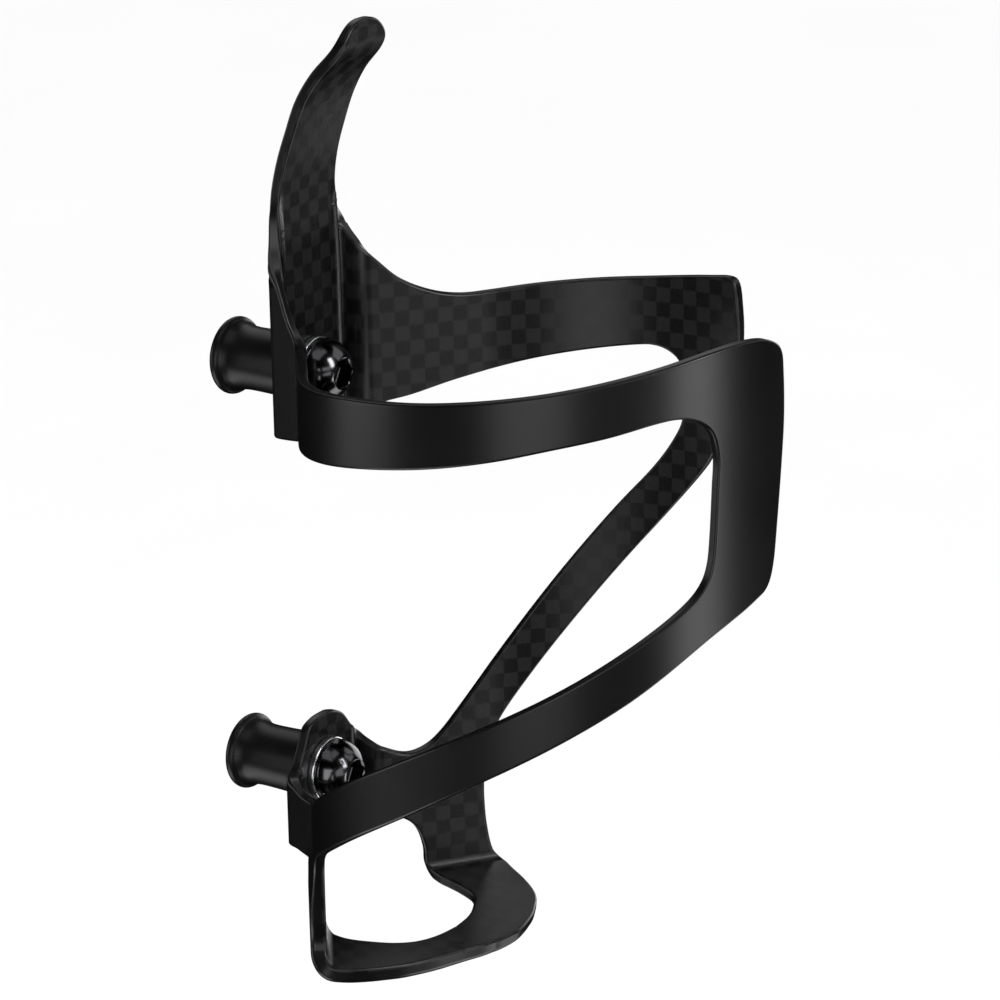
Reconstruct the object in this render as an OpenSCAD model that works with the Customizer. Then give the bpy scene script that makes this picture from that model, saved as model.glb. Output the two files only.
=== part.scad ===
// Bottle cage for a bicycle: a moulded laminate body that holds a round bottle,
// and two sets of mounting hardware, each a bolt, a washer, a stand-off sleeve
// and the metal insert inside the sleeve.
//
// Frame: the origin is midway between the two bolts, on the plane that the
// sleeves' flanges rest on. +Y points from the bicycle tube to the bottle, +Z up.
// The body is one sheet, folded along vertical lines. Its outline is drawn on the
// flat sheet as [s, z]: s runs round the sheet from the middle of the back plate,
// positive towards +X, and z is the height above the origin.

/* [Bottle] */
// Radius of the space that the arms leave for the bottle
bottle_r = 36.7; // [35:0.1:38]
// Distance from the back of the back plate to the bottle's axis
bottle_y = 46.5; // [44:0.1:48]

/* [Laminate] */
// Thickness of the moulded sheet
wall = 1.7; // [1.2:0.1:2]
// Half width of the back plate, over the side walls
spine_half = 8.9; // [8.4:0.1:9.5]
// Angle of the flat webs that spread from the channel to the arms
web_angle = 37.5; // [34:0.5:42]

/* [Foot] */
// Height of the foot's upper surface where it leaves the legs
foot_z = -51.4; // [-54:0.2:-50]
// Downward slope of the foot towards its front, in degrees
foot_slope = 6.8; // [0:0.2:8]
// Thickness of the foot
foot_t = 2.2; // [1.7:0.1:2.5]

/* [Bolts] */
// Distance between the two bolts
bolt_spacing = 64; // [64:0.5:64]
// Thread diameter of the bolts
bolt_d = 5; // [5:0.5:5]
// Length of each bolt under its head
bolt_len = 18; // [18:1:20]
// Diameter of the bolt's plain shank, inside the sleeve
shank_d = 4.6; // [4.4:0.1:4.6]
// Diameter of the domed bolt head
head_d = 10.1; // [9.5:0.1:10.2]
// Height of the domed bolt head
head_h = 4.4; // [4:0.1:4.4]
// Size across the flats of the hexagonal socket
socket_flats = 4; // [3:0.5:4]
// Depth of the hexagonal socket
socket_depth = 2.4; // [1.5:0.1:2.6]
// Outer diameter of the washers
washer_d = 10.2; // [10.2:0.1:11]
// Thickness of the washers
washer_t = 1; // [0.5:0.1:1.2]

/* [Sleeves] */
// Length of each stand-off sleeve, from the tube to the back plate
sleeve_len = 14; // [10:0.5:16]
// Diameter of the sleeve where it meets the back plate
sleeve_d = 10.4; // [9:0.1:11]
// Diameter of the sleeve's waist, just in front of its flange
waist_d = 9.6; // [8.6:0.1:10]
// Diameter of the rounded flange that rests on the tube
flange_d = 11.9; // [11:0.1:14]
// Diameter of the metal insert inside the sleeve
insert_d = 7; // [6.5:0.1:7.5]
// Length of the metal insert
insert_len = 9; // [6:0.5:9]
// Clearance between the bolt and the holes that it passes through
bolt_clearance = 0.15; // [0.1:0.05:0.3]

/* [Hidden] */

carbon = [0.09, 0.09, 0.1];
black_steel = [0.04, 0.04, 0.045];
zinc = [0.75, 0.76, 0.78];
rubber = [0.06, 0.06, 0.06];
liner = [0.7, 0.7, 0.72];

round_fn = 72;
bolt_z = bolt_spacing / 2;
plate_y = sleeve_len;
// Overlap of the blocks that cut neighbouring stretches of the sheet
lap = 0.4;
// How far the web's end is tucked under the round arm, so that the two cross
tuck = 0.01;
// Step in height between neighbouring blocks, so that their edges never coincide
stagger = 0.01;
// Height of the wall that the outline is cut from
tall = 124;
// Longest stretch of a round arm that one straight cut shapes
arc_cut = 11;
// How far round the sheet each arm reaches
long_reach = 122;
short_reach = 74;
// Distance from the back plate at which foot_z is measured
foot_y = 12;
// Radius of the flange's rounded rim, and the place of the sleeve's waist
rim_r = 0.9;
waist_y = 4.5;
// Width, length and reach of the insert's tab under the sleeve
tab_w = 2.4;
tab_len = 4;
tab_r = 6.2;

// Radii of the back plate's corners, on the outside and the inside of the sheet
outer_r = 1;
inner_r = 0.4;

// The folded sheet in plan: straight stretches and bends along its middle line
mid_r = bottle_r + wall / 2;
mid_half = spine_half - wall / 2;
corner_r = 1;
fold_r = 2;
axis_y = plate_y + bottle_y;
fold_turn = 90 - web_angle;
fold_tan = fold_r * tan(fold_turn / 2);
web_end = [mid_r * sin(web_angle), axis_y - mid_r * cos(web_angle)];
web_len = (web_end.x - mid_half) / cos(web_angle);
fold_y = web_end.y - web_len * sin(web_angle);
s_corner = mid_half - corner_r;
s_wall = s_corner + corner_r * PI / 2;
s_fold = s_wall + fold_y - fold_tan - (plate_y + wall / 2 + corner_r);
s_web = s_fold + fold_r * fold_turn * PI / 180;
s_arc = s_web + web_len - fold_tan;

// Heading of the sheet's middle line at s, in degrees from +X
function heading(s) =
    s < s_corner ? 0 :
    s < s_wall ? (s - s_corner) / corner_r * 180 / PI :
    s < s_fold ? 90 :
    s < s_web ? 90 - (s - s_fold) / fold_r * 180 / PI :
    s < s_arc ? web_angle :
    web_angle + (s - s_arc) / mid_r * 180 / PI;

// Point of the middle line at s, for s of zero or more
function middle(s) =
    s < s_corner ? [s, plate_y + wall / 2] :
    s < s_wall ? [s_corner, plate_y + wall / 2 + corner_r]
        + corner_r * [sin(heading(s)), -cos(heading(s))] :
    s < s_fold ? [mid_half, plate_y + wall / 2 + corner_r + s - s_wall] :
    s < s_web ? [mid_half + fold_r, fold_y - fold_tan]
        + fold_r * [-sin(heading(s)), cos(heading(s))] :
    s < s_arc ? web_end - (s_arc - s) * [cos(web_angle), sin(web_angle)] :
    [0, axis_y] + mid_r * [sin(heading(s)), -cos(heading(s))];

// Catmull-Rom curve through the points p, with n steps between each pair
function smooth(p, n = 3) = [
    for (i = [0:len(p) - 2]) for (k = [0:n - 1])
        let (a = p[max(i - 1, 0)], b = p[i], c = p[i + 1],
            d = p[min(i + 2, len(p) - 1)], t = k / n)
        0.5 * (2 * b + (c - a) * t + (2 * a - 5 * b + 4 * c - d) * t * t
            + (3 * b - a - 3 * c + d) * t * t * t),
    p[len(p) - 1]];

// Outlines on the flat sheet, as [s, z]. The long arm reaches round the bottle's
// front on the +X side, and the short arm leaves the bottle free on the other.
long_arm_top = [[7.4, 55], [7.9, 50.5], [9.4, 45], [11, 40.5], [13, 38.3], [17, 37.7],
    [24, 37.8], [32, 38.7], [42, 39.9], [53, 41.4], [68, 43.2], [85, 45.7], [99, 48.2],
    [108, 49.8], [114, 50.2], [118, 49.6], [120.7, 47.8], [121.3, 44]];
long_strut_front = [[121.4, 38], [120.9, 32], [119.9, 23.4], [119, 17.1], [117.6, 13.9],
    [114.8, 12.3]];
long_brace_low = [[106.5, 8.3], [95.5, 1.2], [85, -5], [71.5, -12.7], [61, -19], [52.5, -23.9],
    [43.6, -29], [36.6, -32.9], [33, -36.2], [31.6, -41], [31, -47],
    [31, -58]];
long_arm_low = [[0, 23.2], [10.5, 23.2], [15, 24], [22, 25.7], [30, 27.7], [38, 28.8],
    [47, 30.2], [57, 32], [68, 34], [77, 35.9], [85, 37.8], [93, 39.4], [99, 40.7],
    [102.8, 41], [105.8, 40.1], [107.8, 38.1], [108.6, 34.6]];
long_strut_back = [[108.4, 30], [108, 23.3], [107.5, 19.2], [106.3, 16.5], [103.6, 13.9]];
long_brace_top = [[97, 9.6], [87, 3.7], [75.5, -2.5], [67, -7], [53.5, -14.4],
    [42, -20.9], [36.5, -24], [30, -28.4], [22, -32.3], [15, -34], [12.4, -34],
    [10.2, -33.4], [8.6, -32]];

short_arm_top = [[7.1, 59], [7.7, 56.1], [9, 52.7], [11.3, 50.1], [14.2, 47.2], [17.8, 44],
    [22.4, 41.8], [27, 40.8], [32, 40.8], [38.6, 41.3], [47.5, 42], [57, 42.8],
    [66, 43.9], [70.2, 44.4], [71.8, 43.5]];
short_strut_front = [[72.4, 40], [72.6, 35.5], [72, 28], [70, 21.5], [67, 15.8]];
short_brace_low = [[64.7, 12.4], [57.9, 4.2], [51.3, -3.6], [45.1, -11.2], [37.4, -20.9],
    [31.9, -28.3], [29.8, -33.2], [29.2, -38], [29.2, -42], [29.6, -46.7], [30.6, -58]];
short_arm_low = [[9.5, 23.2], [13.8, 25], [19.1, 25.9], [26, 27.5], [36, 29.3],
    [45, 30.7], [54.5, 32], [57.5, 32.1], [59.8, 31.4], [61.5, 29.9]];
short_strut_back = [[62.2, 27], [62.1, 22], [60.9, 18.6]];
short_brace_top = [[57.3, 13.3], [50.6, 5.7], [42.6, -4.1], [33.3, -16], [26.1, -25],
    [22.3, -29.4], [19.5, -31.4], [16.4, -31.9], [12.5, -30.4], [9, -29]];

// Rear edge of each leg and lower edge of the back plate
long_leg_back = [[19.2, -58], [18.9, -52], [18.4, -48], [17.2, -45.8], [15.6, -44.4],
    [13.8, -43.9], [12, -43.7], [10, -42.9], [8, -42.1], [6, -42]];
short_leg_back = [[19.4, -58], [19.3, -52], [19.1, -47.8], [18.1, -44.8], [16.2, -42.9],
    [13, -42.1], [6, -42]];

// Upper edge of the lower back plate, from the long arm's side to the short arm's
plate_top = [[7, -29.6], [5.4, -26.5], [4.1, -24.2], [2, -23.3], [0, -23.1], [-2, -23.2],
    [-4.6, -24.3], [-6.8, -26.9]];

// The tongue above the back plate: half widths, and the side view of its front
tongue_half = [[7.9, 54.5], [7.3, 57], [7.1, 59.4], [6.95, 61], [6.75, 65], [6.6, 69],
    [6.5, 74], [6.15, 78], [5.75, 81.5], [5.05, 83.6], [3.3, 85.4], [1.6, 86.1], [0, 86.2]];
tongue_front = [[1.7, 50], [1.7, 57], [1.8, 61], [2.65, 65], [4.05, 69], [6.1, 74],
    [8.7, 78], [11.95, 81.5], [13, 83.5], [13.1, 85.5], [13.2, 88]];

// Foot seen from above, under each arm, measured from the back of the back plate
long_foot_rim = [[14.6, 9.2], [18.7, 12.4], [23.4, 15.6], [24.4, 18.4], [22.8, 21.2],
    [20.3, 23.5], [17.9, 25.2], [15.7, 26.6], [13.3, 27.7], [10.3, 28.9], [5.3, 30.5],
    [1.7, 31.8], [0, 32.2]];
long_foot_hole = [[0, 25], [4.4, 24.6], [8, 23.4], [10.7, 21.3], [12.7, 18.6], [14.3, 15.7],
    [14.7, 13.2], [13.4, 10.5]];
short_foot_rim = [[14.6, 9.2], [18.7, 12.4], [22.4, 15.2], [23.2, 18.1], [21.9, 20.9],
    [20.7, 23.9], [19.2, 26.4], [17.1, 28.6], [14.4, 30.2], [11.3, 31.6], [6, 32.9],
    [1.9, 32.7], [0, 32.2]];
short_foot_hole = [[0, 25], [4.4, 24.4], [7.8, 23], [10.6, 21.1], [11.8, 18], [12.4, 15.2],
    [12.9, 13], [13.2, 10.5]];

function reversed(p) = [for (i = [1:len(p)]) p[len(p) - i]];
function other_side(p) = [for (v = reversed(p)) [-v.x, v.y]];

outline = concat(smooth(concat(long_arm_top, long_strut_front, long_brace_low)),
    smooth(long_leg_back), other_side(smooth(short_leg_back)),
    other_side(smooth(concat(short_arm_top, short_strut_front, short_brace_low))));
window = smooth(concat(long_arm_low, long_strut_back, long_brace_top, plate_top,
    other_side(concat(short_arm_low, short_strut_back, short_brace_top))));

module flat_sheet() {
    difference() {
        polygon(outline);
        polygon(window);
    }
}

// Radius of each face where the back plate turns into the side walls
function face_r(off) = off < 0 ? outer_r : inner_r;

// One face of the sheet in plan, off from the middle line, as a filled area
module plan_area(off) {
    bend = [for (i = [0:5]) s_fold + (s_web - s_fold) * i / 5];
    out = spine_half - wall / 2 - off - face_r(off);
    half = concat(
        [for (a = [0:15:90]) [out, plate_y + wall / 2 + off + face_r(off)]
            + face_r(off) * [sin(a), -cos(a)]],
        [for (s = bend) middle(s) + off * [-sin(heading(s)), cos(heading(s))]]);
    r = mid_r - off;
    end = [r * sin(web_angle), axis_y - r * cos(web_angle)];
    centre = [0, axis_y];
    polygon(concat(half, [end + tuck * (centre - end) / r, centre],
        [for (p = reversed(concat(half, [end + tuck * (centre - end) / r]))) [-p.x, p.y]]));
    translate(centre) circle(r = r, $fn = 4 * round_fn);
}

module folded_sheet() {
    translate([0, 0, -tall / 2]) linear_extrude(height = tall) difference() {
        plan_area(-wall / 2);
        plan_area(wall / 2);
    }
}

// A block with the outline of the stretch from s0 to s1, square to the sheet there
module block(s0, s1, over = lap) {
    mid = (s0 + s1) / 2;
    p = middle(mid);
    translate([p.x, p.y, 0]) rotate([90, 0, heading(mid)])
        translate([-mid, 0, -1.2 * wall]) linear_extrude(height = 2.4 * wall) intersection() {
            children();
            translate([s0 - over, -tall / 2]) square([s1 - s0 + 2 * over, tall]);
        }
}

// Blocks along one side of the sheet, from the back plate to s = last
module blocks(last) {
    arcs = ceil((last - s_arc) / arc_cut);
    cuts = concat([for (i = [0:3]) s_corner + (s_wall - s_corner) * i / 3],
        [for (i = [0:2]) s_fold + (s_web - s_fold) * i / 2],
        [for (i = [0:arcs]) s_arc + (last - s_arc) * i / arcs]);
    for (i = [0:len(cuts) - 2])
        block(cuts[i], cuts[i + 1]) translate([0, stagger * (i % 2 + 1)]) children();
}

module folded_body() {
    intersection() {
        folded_sheet();
        union() {
            block(0, 0, s_corner + lap) flat_sheet();
            blocks(long_reach) flat_sheet();
            mirror([1, 0, 0]) blocks(short_reach) mirror([1, 0]) flat_sheet();
        }
    }
}

module tongue() {
    half = smooth(tongue_half);
    line = smooth(tongue_front);
    thick = [for (i = [0:len(line) - 1])
        let (d = line[min(i + 1, len(line) - 1)] - line[max(i - 1, 0)])
        line[i] + wall / norm(d) * [-d.y, d.x]];
    intersection() {
        rotate([90, 0, 90]) translate([plate_y, 0, -spine_half])
            linear_extrude(height = 2 * spine_half) polygon(concat(line, reversed(thick)));
        rotate([90, 0, 0]) translate([0, 0, -plate_y - 20]) linear_extrude(height = 30)
            polygon(concat([[s_corner, 50]], half, [for (p = reversed(half)) [-p.x, p.y]],
                [[-s_corner, 50]]));
    }
}

module on_foot() {
    translate([0, plate_y + foot_y, foot_z]) rotate([-foot_slope, 0, 0])
        translate([0, -foot_y, -foot_t]) children();
}

module foot_plate() {
    on_foot() linear_extrude(height = foot_t) union() {
        polygon(concat(smooth(long_foot_rim), smooth(long_foot_hole)));
        mirror([1, 0]) polygon(concat(smooth(short_foot_rim), smooth(short_foot_hole)));
    }
}

// Everything below the foot, which trims the ends of the legs
module under_foot() {
    on_foot() translate([-50, 0, -20]) cube([100, 50, 20]);
}

module cage_body() {
    color(carbon) difference() {
        union() {
            difference() {
                folded_body();
                under_foot();
            }
            tongue();
            foot_plate();
        }
        for (z = [-bolt_z, bolt_z])
            translate([0, plate_y - 1, z]) rotate([-90, 0, 0])
                cylinder(d = bolt_d + 2 * bolt_clearance, h = wall + 2, $fn = round_fn);
    }
}

// Every piece of hardware is turned about its own axis, which lies along +Y
module along_y(y, z) {
    translate([0, y, z]) rotate([-90, 0, 0]) children();
}

module bolt(z) {
    head_y = plate_y + wall + washer_t;
    color(black_steel) along_y(head_y, z) difference() {
        union() {
            intersection() {
                cylinder(d = head_d, h = head_h, $fn = round_fn);
                sphere(d = head_d, $fn = round_fn);
            }
            translate([0, 0, -bolt_len]) cylinder(d = shank_d, h = bolt_len + wall, $fn = round_fn);
            translate([0, 0, -bolt_len]) cylinder(d = bolt_d, h = bolt_len - head_y, $fn = round_fn);
        }
        translate([0, 0, head_h - socket_depth])
            cylinder(d = socket_flats / cos(30), h = socket_depth + 1, $fn = 6);
    }
}

module washer(z) {
    color(zinc) along_y(plate_y + wall, z) difference() {
        cylinder(d = washer_d, h = washer_t, $fn = round_fn);
        translate([0, 0, -1])
            cylinder(d = bolt_d + 2 * bolt_clearance, h = washer_t + 2, $fn = round_fn);
    }
}

module sleeve(z) {
    bore_r = bolt_d / 2 + bolt_clearance;
    color(rubber) along_y(0, z) difference() {
        rotate_extrude($fn = round_fn) polygon(concat(
            [[bore_r, 0], [flange_d / 2 - rim_r, 0]],
            [for (a = [-75:15:60]) [flange_d / 2 - rim_r + rim_r * cos(a), rim_r + rim_r * sin(a)]],
            smooth([[flange_d / 2 - 0.75, 2.1], [waist_d / 2 + 0.15, 3.3], [waist_d / 2, waist_y],
                [waist_d / 2 + 0.05, 6.5], [sleeve_d / 2, sleeve_len]]),
            [[bore_r, sleeve_len]]));
        translate([0, 0, sleeve_len - insert_len])
            cylinder(d = insert_d, h = insert_len + 1, $fn = round_fn);
        tab_room();
    }
}

// Notch in the sleeve's underside for the insert's tab
module tab_room() {
    translate([-tab_w / 2, 0, sleeve_len - tab_len]) cube([tab_w, tab_r + 1, tab_len + 1]);
}

module insert(z) {
    color(liner) along_y(0, z) difference() {
        union() {
            translate([0, 0, sleeve_len - insert_len])
                cylinder(d = insert_d, h = insert_len, $fn = round_fn);
            translate([-tab_w / 2, 0, sleeve_len - tab_len]) cube([tab_w, tab_r, tab_len]);
        }
        translate([0, 0, sleeve_len - insert_len - 1])
            cylinder(d = bolt_d + 2 * bolt_clearance, h = insert_len + 2, $fn = round_fn);
    }
}

module upper_bolt() { bolt(bolt_z); }
module lower_bolt() { bolt(-bolt_z); }
module upper_washer() { washer(bolt_z); }
module lower_washer() { washer(-bolt_z); }
module upper_sleeve() { sleeve(bolt_z); }
module lower_sleeve() { sleeve(-bolt_z); }
module upper_insert() { insert(bolt_z); }
module lower_insert() { insert(-bolt_z); }

cage_body();
upper_bolt();
lower_bolt();
upper_washer();
lower_washer();
upper_sleeve();
lower_sleeve();
upper_insert();
lower_insert();
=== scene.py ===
"""Looks of the bicycle bottle cage: one moulded laminate body and its mounting hardware.

The body is a flat outline in (s, z) millimetres, folded along vertical lines into the
cage: s runs round the sheet from the middle of the back plate, positive towards +X.
"""
import math

import bpy
import numpy as np
from mathutils import Matrix, Vector
from mathutils.geometry import delaunay_2d_cdt


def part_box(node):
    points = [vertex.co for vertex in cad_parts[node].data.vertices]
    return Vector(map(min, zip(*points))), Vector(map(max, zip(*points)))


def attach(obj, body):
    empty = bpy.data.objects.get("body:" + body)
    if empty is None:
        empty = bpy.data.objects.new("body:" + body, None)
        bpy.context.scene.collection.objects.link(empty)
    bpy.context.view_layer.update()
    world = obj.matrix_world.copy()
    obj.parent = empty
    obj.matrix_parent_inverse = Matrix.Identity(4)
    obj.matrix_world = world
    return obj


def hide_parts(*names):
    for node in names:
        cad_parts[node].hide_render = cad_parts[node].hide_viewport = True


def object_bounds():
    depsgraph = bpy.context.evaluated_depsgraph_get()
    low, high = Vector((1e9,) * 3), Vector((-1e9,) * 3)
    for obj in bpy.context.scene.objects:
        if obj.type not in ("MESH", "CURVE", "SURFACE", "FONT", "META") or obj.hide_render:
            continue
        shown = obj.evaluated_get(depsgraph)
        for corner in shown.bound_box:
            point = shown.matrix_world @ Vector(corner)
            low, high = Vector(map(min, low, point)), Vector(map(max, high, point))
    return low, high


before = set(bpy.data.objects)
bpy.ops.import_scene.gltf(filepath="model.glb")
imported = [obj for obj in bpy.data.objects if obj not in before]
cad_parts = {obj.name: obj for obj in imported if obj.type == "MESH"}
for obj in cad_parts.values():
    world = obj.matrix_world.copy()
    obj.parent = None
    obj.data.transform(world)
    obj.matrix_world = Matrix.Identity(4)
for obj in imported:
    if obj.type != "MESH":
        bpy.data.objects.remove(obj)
cad_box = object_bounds()
MM = 0.001

# ---------------------------------------------------------------- driving sizes (mm, degrees)
WALL = 1.7              # thickness of the sheet
EDGE_R = 0.42           # rounding of its cut edges
WEB_ANGLE = 37.5        # between the webs and the plane of the back plates
CORNER_R = 1.0          # bend from back plate to side wall, at the middle of the sheet
OUTER_R = 1.0           # the same corner on the outer face
INNER_R = 0.7           # and on the inner face
FOLD_R = 2.0            # bend from side wall to web
SPINE_HALF = 8.9        # half the width over the side walls
BOTTLE_Y = 46.5         # from the rear of the back plates to the bottle's axis
FOOT_Z = -51.4          # height of the foot's top face at FOOT_Y in front of the same rear face
FOOT_Y = 12.0
FOOT_SLOPE = 0.119      # how much the foot falls for each mm forward
FOOT_BEND_R = 2.2       # bend from leg to foot
FOOT_GAIN = 1.9         # how much further out the near half of the foot's lower face lies
LEG_LIFT = 0.09         # slant of the far leg's bend
LEG_TOP = -38           # below this height, and past LEG_S, the sheet is leg and foot
LEG_S = 11
THICK_TOP = -36         # the extra thickness of the foot starts here
TONGUE_HALF = 9         # only the middle of the sheet leans with the tongue
CORNER_BLEND = 0.6      # how far past a corner the faces' own slope sets the normals
WALL_SPLAY = 27         # shading only: turns the flat outer side walls towards the front

body_high = Vector(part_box("cage_body")[1]) / MM
PLATE_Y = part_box("upper_sleeve")[1][1] / MM
MID_R = body_high.x - WALL / 2
AXIS_Y = PLATE_Y + BOTTLE_Y
MID_HALF = SPINE_HALF - WALL / 2


# ---------------------------------------------------------------- the folded sheet
def rad(a):
    """Degrees to radians."""
    return a * math.pi / 180


WEB_END = (MID_R * math.sin(rad(WEB_ANGLE)), AXIS_Y - MID_R * math.cos(rad(WEB_ANGLE)))
WEB_LEN = (WEB_END[0] - MID_HALF) / math.cos(rad(WEB_ANGLE))
FOLD_TURN = rad(90 - WEB_ANGLE)
FOLD_TAN = FOLD_R * math.tan(FOLD_TURN / 2)
FOLD_Y = WEB_END[1] - WEB_LEN * math.sin(rad(WEB_ANGLE))
S_CORNER = MID_HALF - CORNER_R
S_WALL = S_CORNER + CORNER_R * math.pi / 2
S_FOLD = S_WALL + FOLD_Y - FOLD_TAN - (PLATE_Y + WALL / 2 + CORNER_R)
S_WEB = S_FOLD + FOLD_R * FOLD_TURN
S_ARC = S_WEB + WEB_LEN - FOLD_TAN
WEB_T = (math.cos(rad(WEB_ANGLE)), math.sin(rad(WEB_ANGLE)))
WEB_N = (-WEB_T[1], WEB_T[0])


def middle(s):
    """Plan point of the sheet's middle line at s of zero or more."""
    y0 = PLATE_Y + WALL / 2
    if s < S_CORNER:
        return s, y0
    if s < S_WALL:
        a = (s - S_CORNER) / CORNER_R
        return S_CORNER + CORNER_R * math.sin(a), y0 + CORNER_R * (1 - math.cos(a))
    if s < S_FOLD:
        return MID_HALF, y0 + CORNER_R + s - S_WALL
    if s < S_WEB:
        a = (s - S_FOLD) / FOLD_R
        return MID_HALF + FOLD_R * (1 - math.cos(a)), FOLD_Y - FOLD_TAN + FOLD_R * math.sin(a)
    if s < S_ARC:
        return WEB_END[0] - (S_ARC - s) * WEB_T[0], WEB_END[1] - (S_ARC - s) * WEB_T[1]
    a = rad(WEB_ANGLE) + (s - S_ARC) / MID_R
    return MID_R * math.sin(a), AXIS_Y - MID_R * math.cos(a)


def ramp(x, x0, x1):
    """0 at x0, 1 at x1, smooth between."""
    t = min(max((x - x0) / (x1 - x0), 0), 1)
    return t * t * (3 - 2 * t)


# Side view of the tongue: how far its front leans towards the bottle at each height
TONGUE_LEAN = [(46, 0), (50, -0.1), (54, -0.25), (58, -0.3), (61, 0), (65, 0.95), (69, 2.35),
               (74, 4.4), (78, 7), (81.5, 10.25), (83.5, 11.3), (88, 11.5)]


def tongue_lean(z):
    """Catmull-Rom reading of TONGUE_LEAN."""
    p = TONGUE_LEAN
    if z <= p[0][0]:
        return 0.0
    i = max(k for k in range(len(p) - 1) if p[k][0] <= z) if z < p[-1][0] else len(p) - 2
    (z0, a0), (z1, a1) = p[i], p[i + 1]
    zb, ab = p[max(i - 1, 0)]
    zc, ac = p[min(i + 2, len(p) - 1)]
    m0 = (a1 - ab) / (z1 - zb) if i else 0
    m1 = (ac - a0) / (zc - z0)
    h, t = z1 - z0, (z - z0) / (z1 - z0)
    return ((2 * t**3 - 3 * t**2 + 1) * a0 + (t**3 - 2 * t**2 + t) * h * m0
            + (3 * t**2 - 2 * t**3) * a1 + (t**3 - t**2) * h * m1)


def foot_mid_z(y):
    """Height of the foot plate's middle surface at y."""
    return FOOT_Z - WALL / 2 - FOOT_SLOPE * (y - PLATE_Y - FOOT_Y)


def leg_corner(s):
    """Plan point under the leg at s, and the height at which leg and foot would meet."""
    x, y = WEB_END[0] - (S_ARC - s) * WEB_T[0], WEB_END[1] - (S_ARC - s) * WEB_T[1]
    return x, y, foot_mid_z(y)


FOOT_TURN = math.pi / 2 - math.atan(FOOT_SLOPE * WEB_N[1])
FOOT_TAN = FOOT_BEND_R * math.tan(FOOT_TURN / 2)


def foot_flat(x, y):
    """Flat coordinates of the foot's plan point (x, y - PLATE_Y), on the +X half."""
    dx, dy = x - WEB_END[0], y + PLATE_Y - WEB_END[1]
    s = S_ARC + dx * WEB_T[0] + dy * WEB_T[1]
    w = dx * WEB_N[0] + dy * WEB_N[1]
    return s, leg_corner(s)[2] - w


def sheet(s, z):
    """Point of the sheet's middle surface, in mm."""
    a = abs(s)
    sign = 1 if s >= 0 else -1
    x, y = middle(a)
    if z > TONGUE_LEAN[0][0] and a < TONGUE_HALF:
        y += tongue_lean(z)
    if z < LEG_TOP and a > LEG_S:
        cx, cy, cz = leg_corner(a)
        d = cz - z
        lift = LEG_LIFT * (a - 23) * ramp(z, -42, -49) if s < 0 else 0
        if d > -FOOT_TAN:
            x, y = cx, cy
            if d >= FOOT_TAN:
                w, z = d, cz - d * FOOT_SLOPE * WEB_N[1]
            else:
                t = (d + FOOT_TAN) / (2 * FOOT_TAN) * FOOT_TURN
                w, z = FOOT_BEND_R * (1 - math.cos(t)), cz + FOOT_TAN - FOOT_BEND_R * math.sin(t)
            x, y = x + WEB_N[0] * w, y + WEB_N[1] * w
            lift *= 1 - ramp(d, 1, 10)
        z += lift
    return Vector((sign * x, y, z))


def sheet_normal(s, z, e=0.02):
    """Unit normal of the sheet, towards the bottle."""
    ds = sheet(s + e, z) - sheet(s - e, z)
    dz = sheet(s, z + e) - sheet(s, z - e)
    return dz.cross(ds).normalized()


def outer_gain(s, z):
    """How much further out than usual the outer face is: tighter corners, and a thicker foot."""
    a = abs(s)
    gain = 1.0
    if z < THICK_TOP and a > 10.5:
        near_half = ramp(sheet(s, z).x, -14, 10)
        gain += (FOOT_GAIN - 1) * ramp(z, THICK_TOP, -46) * ramp(a, 10.5, 13) * near_half
    if S_CORNER < a < S_WALL:
        turn = (a - S_CORNER) / CORNER_R
        full = CORNER_R + WALL / 2
        step = full - OUTER_R
        if abs(math.tan(turn - math.pi / 4)) >= math.tan(math.pi / 4 - math.atan(step / full)):
            reach = full / max(math.cos(turn), math.sin(turn))
        else:
            sway = step * (math.sin(turn) + math.cos(turn))
            reach = sway + math.sqrt(sway * sway - 2 * step * step + OUTER_R * OUTER_R)
        gain *= (reach - CORNER_R) / (WALL / 2)
    return gain


INNER_STEP = INNER_R - (CORNER_R - WALL / 2)


def inner_gain(s):
    """How much further in than usual the inner face is: a rounder fillet in the corners."""
    a = abs(s)
    if not S_CORNER - INNER_STEP < a < S_WALL + INNER_STEP:
        return 1.0
    if S_CORNER < a < S_WALL:
        turn = (a - S_CORNER) / CORNER_R
        sway = INNER_STEP * (math.sin(turn) + math.cos(turn))
        reach = math.sqrt(sway * sway - 2 * INNER_STEP * INNER_STEP + INNER_R * INNER_R) - sway
        return (CORNER_R - reach) / (WALL / 2)
    past = INNER_STEP - max(S_CORNER - a, a - S_WALL)
    return 1 + (INNER_R - math.sqrt(INNER_R * INNER_R - past * past)) / (WALL / 2)


def face_point(s, z, h):
    """Point h off the middle surface, positive towards the bottle."""
    gain = outer_gain(s, z) if h < 0 else inner_gain(s)
    return sheet(s, z) + sheet_normal(s, z) * h * gain


def face_normal(s, z, h, e=0.02):
    """Unit normal for shading at h off the middle, towards the bottle."""
    in_corner = S_CORNER - CORNER_BLEND < abs(s) < S_WALL + CORNER_BLEND
    if not in_corner and (h > 0 or z > THICK_TOP):
        normal = sheet_normal(s, z)
    else:
        ds = face_point(s + e, z, h) - face_point(s - e, z, h)
        dz = face_point(s, z + e, h) - face_point(s, z - e, h)
        normal = dz.cross(ds).normalized()
    if h < 0 and S_CORNER < abs(s) < S_WEB:
        # A guess: the flat side walls are shaded as if they were softly crowned outside
        side = 1 if s > 0 else -1
        splay = rad(WALL_SPLAY)
        if normal.y < math.sin(splay) * math.hypot(normal.x, normal.y):
            normal = Vector((-side * math.cos(splay), math.sin(splay), normal.z)).normalized()
    return normal


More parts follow.
